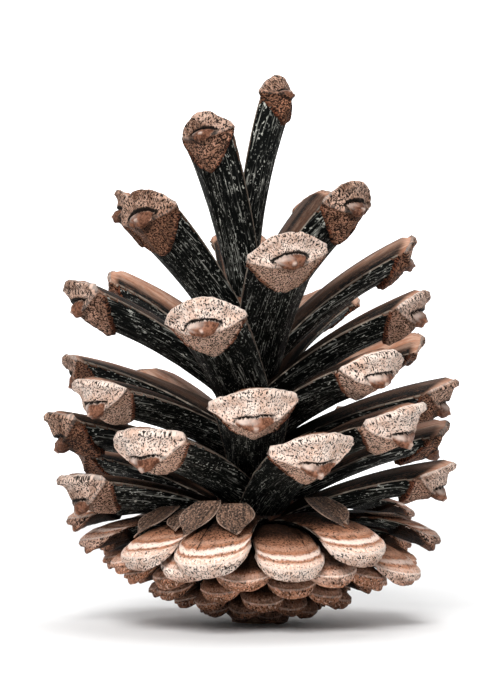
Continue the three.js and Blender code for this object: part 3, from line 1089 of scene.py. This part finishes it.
class Graph:
    """The node tree of one material, with a Principled shader at its end."""

    def __init__(self, name: str) -> None:
        """Starts a material with its shader.

        Args:
            name: The material's name.
        """
        self.material = bpy.data.materials.new(name)
        self.material.use_nodes = True
        self.tree = self.material.node_tree
        self.shader = self.tree.nodes["Principled BSDF"]

    def node(
        self,
        kind: str,
        settings: dict[str, object] | None = None,
        inputs: dict[int | str, object] | None = None,
        output: int | str = 0,
    ) -> Value:
        """Adds a node.

        Args:
            kind: The node's type.
            settings: Its own settings, which are made first.
            inputs: Values, or links, for its sockets.
            output: Which of its outputs to return.

        Returns:
            That output.
        """
        node = self.tree.nodes.new(kind)
        for name, value in (settings or {}).items():
            setattr(node, name, value)
        for key, value in (inputs or {}).items():
            self.feed(node.inputs[key], value)
        return Value(self, node.outputs[output])

    def feed(self, socket: bpy.types.NodeSocket, value: object) -> None:
        """Links or sets one input socket.

        Args:
            socket: The socket.
            value: A value of this graph, or a constant.
        """
        if isinstance(value, Value):
            self.tree.links.new(value.socket, socket)
        elif isinstance(value, tuple) and len(value) == 3 and socket.type == "RGBA":
            socket.default_value = (*value, 1.0)
        else:
            socket.default_value = value

    def split(self, vector: Value) -> tuple[Value, Value, Value]:
        """The three numbers of a vector."""
        outputs = self.node("ShaderNodeSeparateXYZ", None, {0: vector}).socket.node.outputs
        return Value(self, outputs[0]), Value(self, outputs[1]), Value(self, outputs[2])

    def facts(self, name: str) -> tuple[Value, Value, Value]:
        """The three numbers of a named attribute of the piece."""
        return self.split(self.node("ShaderNodeAttribute", {"attribute_name": name}, output="Vector"))

    def vector(self, x: Value | float, y: Value | float, z: Value | float) -> Value:
        """A vector of three numbers."""
        return self.node("ShaderNodeCombineXYZ", None, {0: x, 1: y, 2: z})

    def noise(self, place: Value, scale: float, detail: float, roughness: float) -> Value:
        """Soft noise between about 0.2 and 0.8 at a place."""
        inputs = {"Vector": place, "Scale": scale, "Detail": detail, "Roughness": roughness}
        return self.node("ShaderNodeTexNoise", {"noise_dimensions": "3D"}, inputs, "Fac")

    def grain(self, x: Value, y: Value, pattern: Value | float, detail: float, roughness: float) -> Value:
        """Soft noise over two lengths that are already in cells, in one of many patterns."""
        return self.noise(self.vector(x, y, pattern), 1.0, detail, roughness)

    def blend(self, share: Value | float, first: Value | Colour, second: Value | Colour) -> Value:
        """A colour between two."""
        return self.node("ShaderNodeMix", {"data_type": "RGBA"}, {0: share, 6: first, 7: second}, 2)

    def tint(self, colour: Value, gain: Value) -> Value:
        """A colour made lighter or darker."""
        return self.node("ShaderNodeVectorMath", {"operation": "SCALE"}, {0: colour, "Scale": gain})

    def finish(self, colour: Value, roughness: Value, height: Value, depth: float) -> bpy.types.Material:
        """Feeds the shader.

        Args:
            colour: The base colour.
            roughness: How matt the surface is.
            height: The fine relief.
            depth: How deep that relief is, in millimetres.

        Returns:
            The finished material.
        """
        relief = {"Strength": 1.0, "Distance": depth * MM, "Height": height}
        bump = self.node("ShaderNodeBump", None, relief, "Normal")
        for name, value in (("Base Color", colour), ("Roughness", roughness), ("Normal", bump)):
            self.feed(self.shader.inputs[name], value)
        return self.material


def srgb(red: int, green: int, blue: int) -> Colour:
    """Makes a colour that the shader takes from screen values.

    Args:
        red: From 0 to 255.
        green: From 0 to 255.
        blue: From 0 to 255.

    Returns:
        The colour in linear light.
    """

    def linear(part: int) -> float:
        """One channel, made linear."""
        share = part / 255
        return share / 12.92 if share <= 0.04045 else ((share + 0.055) / 1.055) ** 2.4

    return linear(red), linear(green), linear(blue)


@dataclass(frozen=True)
class Reading:
    """What each point of a scale tells the finish, and the two noises that all its zones share."""

    from_hood: Value
    edge: Value
    over: Value
    along: Value
    side: Value
    seed: Value
    from_end: Value
    lens: Value
    from_keel: Value
    closed: Value
    bleach: Value
    banded_or_back_lit: Value
    cloud: Value
    fine: Value

    @classmethod
    def of(cls, g: Graph) -> "Reading":
        """Reads the vectors that the points of a scale carry.

        Args:
            g: The material's graph.

        Returns:
            What they tell, in the order of the fields.
        """
        along, side, seed = g.facts("grain")
        from_end, lens, from_keel = g.facts("ending")
        place = g.vector(from_keel, side, seed)
        noises = g.noise(place, 0.45, 3.0, 0.6), g.noise(place, 3.2, 3.0, 0.65)
        return cls(*g.facts("lay"), along, side, seed, from_end, lens, from_keel, *g.facts("trait"), *noises)


@dataclass(frozen=True)
class ScaleWood:
    """The finish of the scales: soot-dark blades, speckled pinkish hoods, tan upper faces, with painted light
    and shade.
    """

    soot: Colour = srgb(3, 5, 4)
    ash: Colour = srgb(198, 198, 188)
    # The colour of a painted highlight along the edges of the blades and the upper faces.
    line: Colour = srgb(176, 160, 144)
    sienna: Colour = srgb(160, 110, 86)
    pale: Colour = srgb(240, 220, 207)
    blush: Colour = srgb(214, 180, 160)
    umber: Colour = srgb(104, 72, 55)
    # The near black of the pits, also used for painted shade in the groove over the boss and in the crack of a
    # closed scale.
    speck_and_shade: Colour = srgb(12, 9, 7)
    chestnut: Colour = srgb(92, 58, 43)
    rust: Colour = srgb(132, 76, 54)
    tan: Colour = srgb(206, 166, 143)
    brown: Colour = srgb(176, 122, 94)
    cream: Colour = srgb(244, 220, 206)
    gloss: float = 0.08
    grit_depth: float = 0.22

    def material(self) -> bpy.types.Material:
        """Builds the material from the vectors that each scale carries.

        Returns:
            The material.
        """
        g = Graph("scale_wood")
        r = Reading.of(g)
        over = r.over.above(0.35, 0.65)
        hood, pits = self.hood(g, r)
        on_hood = (r.from_hood + (r.fine - 0.5) * 0.8 + (r.cloud - 0.5) * 0.9).above(-0.1, 0.1)
        colour = g.blend(on_hood, self.blade(g, r), hood)
        colour = g.blend(over, colour, self.upper(g, r))
        # Painted shade: the scales are painted darker towards the floor.
        height = g.split(g.node("ShaderNodeTexCoord", output="Object"))[2]
        colour = g.tint(colour, 0.26 + 0.74 * height.above(0.2 * MM, 6.0 * MM))
        inside = r.lens.above(0.0, 0.25) * (1 - over) * (1 - r.closed)
        roughness = 0.62 - inside * 0.24 + (r.fine - 0.5) * 0.25
        streak = g.grain(r.along * 0.3, r.side * 5.0, r.seed, 3.0, 0.6)
        bumps = streak * 0.6 + r.fine * 0.5 - pits * on_hood * (1 - over) * 0.8
        g.feed(g.shader.inputs["Specular IOR Level"], self.gloss)
        return g.finish(colour, roughness, bumps, self.grit_depth)

    def blade(self, g: Graph, r: Reading) -> Value:
        """Colours the underside: near black, with clusters of pale fibres, dust and a painted highlight along
        its thin edges.

        Args:
            g: The material's graph.
            r: What the points tell.

        Returns:
            The colour.
        """
        fibre = g.grain(r.along * 0.18, r.side * 6.5, r.seed, 3.0, 0.68)
        dust = g.grain(r.along * 1.6, r.side * 5.5, r.seed, 2.0, 0.6)
        worn = g.grain(r.along * 0.3, r.side * 1.1, r.seed, 2.0, 0.6).above(0.38, 0.6)
        near_hood = r.from_hood.above(-1.4, -0.1)
        streaks = fibre.above(0.54, 0.68) * (0.04 + 0.66 * worn)
        colour = g.blend(streaks, self.soot, self.ash)
        flecks = (dust + near_hood * 0.03).above(0.6, 0.66) * (0.18 + 0.72 * worn)
        colour = g.blend(flecks, colour, self.ash)
        # Painted highlight along both edges of the blade.
        return g.blend((r.edge + (dust - 0.5) * 0.02).above(0.972, 0.988) * 0.6, colour, self.line)

    def hood(self, g: Graph, r: Reading) -> tuple[Value, Value]:
        """Colours the exposed end: a rusty rim, a peppered lower field, a paler dish above it and a boss,
        painted lighter as the scale faces the front, with a painted highlight on the keel of an open scale and
        painted shade under a closed hood.

        Args:
            g: The material's graph.
            r: What the points tell.

        Returns:
            The colour, and how pitted each point is.
        """
        above = r.from_keel.above(-0.3, 0.5)
        fade = r.closed * r.from_end.above(1.0, 3.2) * 0.6
        bleach = (r.bleach - fade + (r.cloud - 0.5) * 0.5).above(0.1, 0.85)
        mottle = (r.cloud + (r.fine - 0.5) * 0.7).above(0.3, 0.66)
        bare = g.blend(r.closed, self.tan, self.brown)
        dish = g.blend(bleach, g.blend(mottle, self.umber, bare), g.blend(mottle, self.blush, self.pale))
        # The lower field is painted darker or paler by the scale's paleness, which carries painted light.
        lower_dark, lower_pale = g.blend(mottle, self.umber, self.brown), g.blend(mottle, self.tan, self.blush)
        colour = g.blend(above, g.blend(bleach, lower_dark, lower_pale), dish)
        rim = (r.from_hood + (r.fine - 0.5) * 0.8).above(0.95, 0.55)
        colour = g.blend(rim * 0.95, colour, g.blend(mottle, self.umber, self.rust))
        pits = self.pepper(g, r, above)
        colour = g.blend(pits * 0.97, colour, self.speck_and_shade)
        chips = g.grain(r.side * 4.0, r.from_keel * 3.4, r.seed + 4.0, 1.0, 0.5).above(0.6, 0.65)
        colour = g.blend(chips * r.closed * (1 - r.banded_or_back_lit) * 0.65, colour, self.blush)
        # A pale brim along the end edge, paler on hoods painted as lit, and a painted highlight along the keel
        # ridge.
        brim = r.from_end.above(0.32, 0.08) * (0.25 + 0.55 * r.bleach)
        keel_highlight = (abs(r.from_keel) + (r.fine - 0.5) * 0.4).above(0.2, 0.05)
        colour = g.blend(brim + keel_highlight * (1 - r.closed) * r.bleach * 0.45, colour, self.pale)
        colour = g.blend(1 - r.closed, colour, self.boss(g, r, colour))
        # Painted light and shade: hoods painted lighter as they face the front, closed ones without bands
        # lighter still, and painted shade under the keel of a closed hood, between the tiles.
        under = r.closed * r.from_keel.above(-0.1, -1.2)
        painted_light = 0.9 + 0.1 * r.bleach + 0.55 * r.closed * (1 - r.banded_or_back_lit)
        return g.tint(colour, painted_light * (1 - 0.9 * under)), pits

    def pepper(self, g: Graph, r: Reading, above: Value) -> Value:
        """Finds the black pits of the hood: ticks under its end edge, and dots, most of all under the keel.

        Args:
            g: The material's graph.
            r: What the points tell.
            above: 1 above the keel.

        Returns:
            1 in a pit.
        """
        raw = (1 - r.bleach) * (0.055 - 0.055 * r.closed * (1 - r.banded_or_back_lit))
        ticks = g.grain(r.side * 5.4, r.from_keel * 3.2, r.seed, 1.0, 0.5)
        ticks = (ticks + r.from_end.above(2.1, 0.9) * 0.02 + raw).above(0.62, 0.65)
        dots = g.grain(r.side * 5.6, r.from_keel * 5.2, r.seed + 9.0, 1.0, 0.5)
        dots = (dots + (r.cloud - 0.5) * 0.2 + 0.06 * (1 - above) * (1 - r.closed) + raw).above(0.605, 0.64)
        clear = 1 - r.lens.above(-0.3, 0.15) * (1 - r.closed) * 0.5
        return g.node("ShaderNodeMath", {"operation": "MAXIMUM"}, {0: dots * 0.9, 1: ticks}) * clear

    def boss(self, g: Graph, r: Reading, around: Value) -> Value:
        """Colours the boss: painted shade in the groove over it, a painted highlight on its upper left,
        chestnut flanks and a painted highlight at its point.

        Args:
            g: The material's graph.
            r: What the points tell.
            around: The colour of the hood.

        Returns:
            The colour of the hood with its boss.
        """
        wobble = r.lens + (r.fine - 0.5) * 0.9
        lift = r.from_keel.above(0.1, 0.6)
        # Painted shade in the groove over the boss, strongest above it.
        groove = (wobble + 0.42 * (1 - r.bleach)).above(-0.55, -0.26) * wobble.above(0.06, -0.1)
        ring = 0.2 + 0.8 * lift + 0.6 * (1 - r.bleach) * (1 - lift)
        colour = g.blend(groove * ring * 0.97, around, self.speck_and_shade)
        shade = (r.fine * 1.1 + r.cloud * 0.5 + r.lens * 0.1).above(0.68, 1.0)
        flank = g.tint(g.blend(shade, self.chestnut, self.sienna), 0.66 + 0.2 * r.bleach)
        # Painted highlight on the upper left of the boss.
        painted_light = (r.side * -0.35 + r.cloud).above(0.3, 0.95) * r.lens.above(0.85, 0.3) * lift
        flank = g.blend(painted_light * (0.25 + 0.5 * r.bleach), flank, self.pale)
        # Painted highlight at the boss's point.
        point = (abs(r.side) + (r.fine - 0.5) * 0.5).above(0.26, 0.05) * r.lens.above(0.6, 0.95)
        flank = g.blend(point * 0.5, flank, self.pale)
        return g.blend((r.lens + (r.fine - 0.5) * 0.4).above(-0.06, 0.08), colour, flank)

    def upper(self, g: Graph, r: Reading) -> Value:
        """Colours the upper face: sooty wood with tan prints and a tan end, painted lit and tan where the scale
        faces the back, with a painted highlight along its edges and painted shade towards its root, or the tile
        of a closed scale.

        Args:
            g: The material's graph.
            r: What the points tell.

        Returns:
            The colour.
        """
        grain = g.grain(r.along * 0.3, r.side * 2.6, r.seed, 4.0, 0.65)
        dust = g.grain(r.along * 2.4, r.side * 4.4, r.seed, 2.0, 0.6)
        bare = g.blend((grain + (r.cloud - 0.5) * 0.5).above(0.36, 0.66), self.brown, self.tan)
        dark = g.blend((grain + (dust - 0.5) * 0.8).above(0.42, 0.8) * 0.6, self.soot, self.umber)
        prints = (abs(r.edge - 0.36) + (grain - 0.5) * 0.4 + (dust - 0.5) * 0.2).above(0.32, 0.12)
        # Tan prints, shown in full and with tan edges where the upper face is painted lit at the back.
        shown = prints * (0.14 + 0.86 * r.banded_or_back_lit) * r.from_end.above(22.0, 8.0)
        shown = shown + r.banded_or_back_lit * 0.5 * r.edge.above(0.9, 0.7)
        open_face = g.blend(shown, dark, bare)
        open_face = g.blend(r.from_end.above(1.5, 0.3) * 0.8, open_face, bare)
        # Painted highlight along the edges of the upper face.
        open_face = g.blend(r.edge.above(0.97, 0.985) * 0.5, open_face, self.line)
        face = g.blend(r.closed, open_face, self.tile(g, r))
        # Painted shade: darker towards the root, under the scale above.
        return g.tint(face, 0.4 + 0.6 * r.from_end.above(19.0, 6.0))

    def tile(self, g: Graph, r: Reading) -> Value:
        """Colours the upper face of a closed scale: stippled brown, with pale bands and a pale rim, painted
        shade in its crack and towards its root, and painted lighter as the scale faces the front.

        Args:
            g: The material's graph.
            r: What the points tell.

        Returns:
            The colour.
        """
        grit = g.grain(r.along * 3.4, r.side * 4.0, r.seed, 2.0, 0.6)
        wander = r.from_end + (r.cloud - 0.5) * 1.2 + (r.fine - 0.5) * 0.9
        tile = g.blend((r.cloud + (grit - 0.5) * 1.2).above(0.2, 0.62), self.umber, self.brown)
        band = wander.above(1.15, 1.6) * wander.above(2.6, 1.9)
        tile = g.blend(band * r.banded_or_back_lit * 0.95, tile, self.cream)
        second = wander.above(2.9, 3.6) * wander.above(4.6, 3.7)
        tile = g.blend(second * r.banded_or_back_lit * 0.45, tile, self.tan)
        # The pale rim, stronger on scales painted paler and lit.
        rim = wander.above(1.05, 0.6) * (0.1 + 0.88 * r.bleach)
        tile = g.blend(rim, tile, g.blend(r.fine.above(0.42, 0.6), self.blush, self.cream))
        chips = (grit + r.from_end.above(2.2, 0.3) * 0.05).above(0.62, 0.67) * (1 - r.banded_or_back_lit)
        tile = g.blend(chips * 0.6, tile, self.blush)
        stipple = g.grain(r.side * 4.2, r.along * 3.6, r.seed + 5.0, 2.0, 0.6)
        stipple = (stipple + r.from_end.above(2.5, 9.0) * 0.14 - band * 0.04).above(0.6, 0.65)
        tile = g.blend(stipple * 0.9, tile, self.speck_and_shade)
        # Painted shade in the crack along the upper face.
        tile = g.blend(r.lens.above(OVER_LENS + 0.4, OVER_LENS + 0.8) * 0.9, tile, self.speck_and_shade)
        # Painted shade towards the root, between the tiles, most on scales without bands, and painted lighter
        # where the scale faces the front.
        deep = 1 - (1 - r.banded_or_back_lit) * r.from_end.above(0.5, 2.2) * 0.9
        return g.tint(tile, (0.95 + 0.25 * r.bleach) * (0.12 + 0.88 * r.from_end.above(8.0, 2.6)) * deep)


@dataclass(frozen=True)
class AxisWood:
    """The finish of the axis: dark, rough wood with a paler scar underneath."""

    dark: Colour = srgb(44, 35, 29)
    warm: Colour = srgb(120, 78, 56)
    scar: Colour = srgb(150, 118, 94)
    grain_depth: float = 0.25

    def material(self) -> bpy.types.Material:
        """Builds the material on the piece's own coordinates.

        Returns:
            The material.
        """
        g = Graph("axis_wood")
        place = g.node("ShaderNodeTexCoord", output="Object")
        coarse = g.noise(place, 420.0, 4.0, 0.65)
        fine = g.noise(place, 2400.0, 3.0, 0.6)
        height = g.split(place)[2]
        colour = g.blend((coarse + (fine - 0.5) * 0.5).above(0.4, 0.62), self.dark, self.warm)
        colour = g.blend(height.above(1.2 * MM, 0.2 * MM) * 0.8, colour, self.scar)
        colour = g.tint(colour, 0.6 + fine * 0.8)
        return g.finish(colour, 0.7 + (fine - 0.5) * 0.2, coarse + fine * 0.6, self.grain_depth)


@dataclass(frozen=True)
class WingPaper:
    """The finish of the seed wings: thin grey-brown paper with darker veins."""

    paper: Colour = srgb(128, 98, 80)
    shade: Colour = srgb(26, 20, 17)
    pale: Colour = srgb(206, 176, 156)
    vein_depth: float = 0.15

    def material(self) -> bpy.types.Material:
        """Builds the material from each wing's own lengths.

        Returns:
            The material.
        """
        g = Graph("wing_paper")
        along, side, edge = g.facts("paper")
        vein = g.grain(along * 0.4, side * 2.2, 0.0, 4.0, 0.65)
        grit = g.grain(along * 3.6, side * 4.2, 0.0, 2.0, 0.6)
        colour = g.blend((vein + (grit - 0.5) * 1.3).above(0.34, 0.68), self.shade, self.paper)
        colour = g.blend(grit.above(0.6, 0.67) * 0.5, colour, self.pale)
        colour = g.blend((edge + (grit - 0.5) * 0.12).above(0.93, 0.97) * 0.4, colour, self.pale)
        return g.finish(colour, 0.55 + (vein - 0.5) * 0.3, vein, self.vein_depth)


@dataclass(frozen=True)
class FloorPaper:
    """The plain pale floor, which turns to a glowing white far behind the cone."""

    white: Colour = (0.86, 0.86, 0.86)
    off_white: Colour = (0.8471, 0.8471, 0.8471)
    black: Colour = (0.0, 0.0, 0.0)
    glow: Colour = (1.0, 1.0, 1.0)
    glow_strength: float = 0.9
    tooth_depth: float = 0.02

    def material(self) -> bpy.types.Material:
        """Builds the material with a faint unevenness.

        Returns:
            The material.
        """
        g = Graph("floor_paper")
        place = g.node("ShaderNodeTexCoord", output="Object")
        tooth = g.noise(place, 900.0, 2.0, 0.5)
        behind = g.split(place)[1].above(0.15, 0.9)
        g.feed(g.shader.inputs["Emission Color"], g.blend(behind, self.black, self.glow))
        g.feed(g.shader.inputs["Emission Strength"], self.glow_strength)
        return g.finish(g.blend(tooth, self.white, self.off_white), 0.7 + tooth * 0.1, tooth, self.tooth_depth)


@dataclass(frozen=True)
class SoftLight:
    """One square area light: where it hangs and its side, in metres, and its strength in watts."""

    name: str
    place: Place
    side: float
    power: float

    def hang(self, target: Place) -> None:
        """Hangs the light.

        Args:
            target: What it faces, in metres.
        """
        data = bpy.data.lights.new(self.name, "AREA")
        data.shape = "SQUARE"
        data.size = self.side
        data.energy = self.power
        light = bpy.data.objects.new(self.name, data)
        light.location = self.place
        bpy.context.collection.objects.link(light)
        aim = np.subtract(target, self.place)
        reach = math.hypot(aim[0], aim[1])
        light.rotation_euler = (math.atan2(reach, -aim[2]), 0.0, math.atan2(-aim[0], aim[1]))


@dataclass
class Studio:
    """The floor, the soft light and the camera at the picture's angle. The floor's sizes are metres."""

    floor_side: float = 3.0
    floor_middle: Place = (0.0, -0.5, 0.0)
    back_edge: float = 0.9
    sweep: tuple[Place, ...] = ((0.0, 0.25, 0.06), (0.0, 0.18, 0.18), (0.0, 0.0, 2.0))
    surroundings: float = 0.32
    lights: tuple[SoftLight, ...] = (
        SoftLight("key", (-0.1, -0.55, 0.46), 0.34, 5.4),
        SoftLight("top", (0.05, 0.1, 0.7), 0.3, 2.0),
    )
    lit_point: Place = (0.0, 0.0, 0.03)
    px: float = 0.1326 * MM
    focal_px: float = 1951.0
    frame_px: tuple[int, int] = (500, 700)
    axis_px: float = 258.0
    floor_px: float = 620.0
    horizon_px: float = 447.0
    sensor_mm: float = 36.0

    def build(self) -> None:
        """Sets up the floor, the lights and the camera."""
        self.lay_floor()
        self.hang_lights()
        self.set_camera()

    def lay_floor(self) -> None:
        """A wide plain floor under the cone, swept up into a pale wall far behind it."""
        deselect_all()
        bpy.ops.mesh.primitive_plane_add(size=self.floor_side, location=self.floor_middle)
        floor = bpy.context.object
        floor.name = "floor"
        bpy.ops.object.transform_apply(location=True)
        bpy.ops.object.mode_set(mode="EDIT")
        bpy.ops.mesh.select_mode(type="EDGE")
        bpy.ops.mesh.select_all(action="DESELECT")
        bpy.ops.object.mode_set(mode="OBJECT")
        for edge in floor.data.edges:
            edge.select = all(floor.data.vertices[i].co.y > self.back_edge for i in edge.vertices)
        bpy.ops.object.mode_set(mode="EDIT")
        for stretch in self.sweep:
            bpy.ops.mesh.extrude_region_move(TRANSFORM_OT_translate={"value": stretch})
        bpy.ops.object.mode_set(mode="OBJECT")
        floor.data.materials.append(FloorPaper().material())

    def hang_lights(self) -> None:
        """White surroundings, a large soft light from above the front left, and a weaker one overhead."""
        world = bpy.data.worlds.new("studio")
        world.use_nodes = True
        background = world.node_tree.nodes["Background"]
        background.inputs["Color"].default_value = (1.0, 1.0, 1.0, 1.0)
        background.inputs["Strength"].default_value = self.surroundings
        bpy.context.scene.world = world
        for light in self.lights:
            light.hang(self.lit_point)
        bpy.context.scene.view_settings.view_transform = "Standard"

    def set_camera(self) -> None:
        """Stands the camera where the picture was taken from, looking a little up."""
        data = bpy.data.cameras.new("camera")
        width, height = self.frame_px
        data.sensor_width = self.sensor_mm
        data.lens = self.focal_px / max(width, height) * self.sensor_mm
        data.clip_start = 0.01
        camera = bpy.data.objects.new("camera", data)
        bpy.context.collection.objects.link(camera)
        camera.location = (
            (width / 2 - self.axis_px) * self.px,
            -self.focal_px * self.px,
            (self.floor_px - self.horizon_px) * self.px,
        )
        pitch = math.atan2(self.horizon_px - height / 2, self.focal_px)
        camera.rotation_euler = (math.pi / 2 + pitch, 0.0, 0.0)
        bpy.context.scene.camera = camera


def main() -> None:
    """Builds the cone tier by tier, then the studio."""
    logging.basicConfig(level=logging.INFO, format="%(name)s: %(message)s")
    wood = ScaleWood().material()
    long_blank = ScaleBlank(columns=48, blade_rows=30, step_rows=5, lower_rows=12, upper_rows=24, lip_rows=3)
    skirt_blank = ScaleBlank(columns=32, blade_rows=16, step_rows=4, lower_rows=10, upper_rows=12, lip_rows=3)
    base_blank = ScaleBlank(columns=24, blade_rows=9, step_rows=3, lower_rows=7, upper_rows=9, lip_rows=2)
    blanks = (long_blank, skirt_blank, base_blank)
    tiers = (
        ScaleTier("crown_scales", FIRST_CROWN, LAST_SCALE, long_blank),
        ScaleTier("upper_scales", FIRST_UPPER, FIRST_CROWN - 1, long_blank),
        ScaleTier("middle_scales", OPEN_INDEX, FIRST_UPPER - 1, long_blank),
        ScaleTier("skirt_scales", FIRST_SKIRT, OPEN_INDEX - 1, skirt_blank),
        ScaleTier("base_scales", FIRST_SCALE, FIRST_SKIRT - 1, base_blank),
    )
    for blank in blanks:
        blank.build()
    for tier in tiers:
        tier.build(wood)
    for blank in blanks:
        bpy.data.objects.remove(blank.model)
    ConeAxis().build(AxisWood().material())
    SeedWings().build(WingPaper().material())
    Studio().build()


if __name__ == "__main__":
    main()
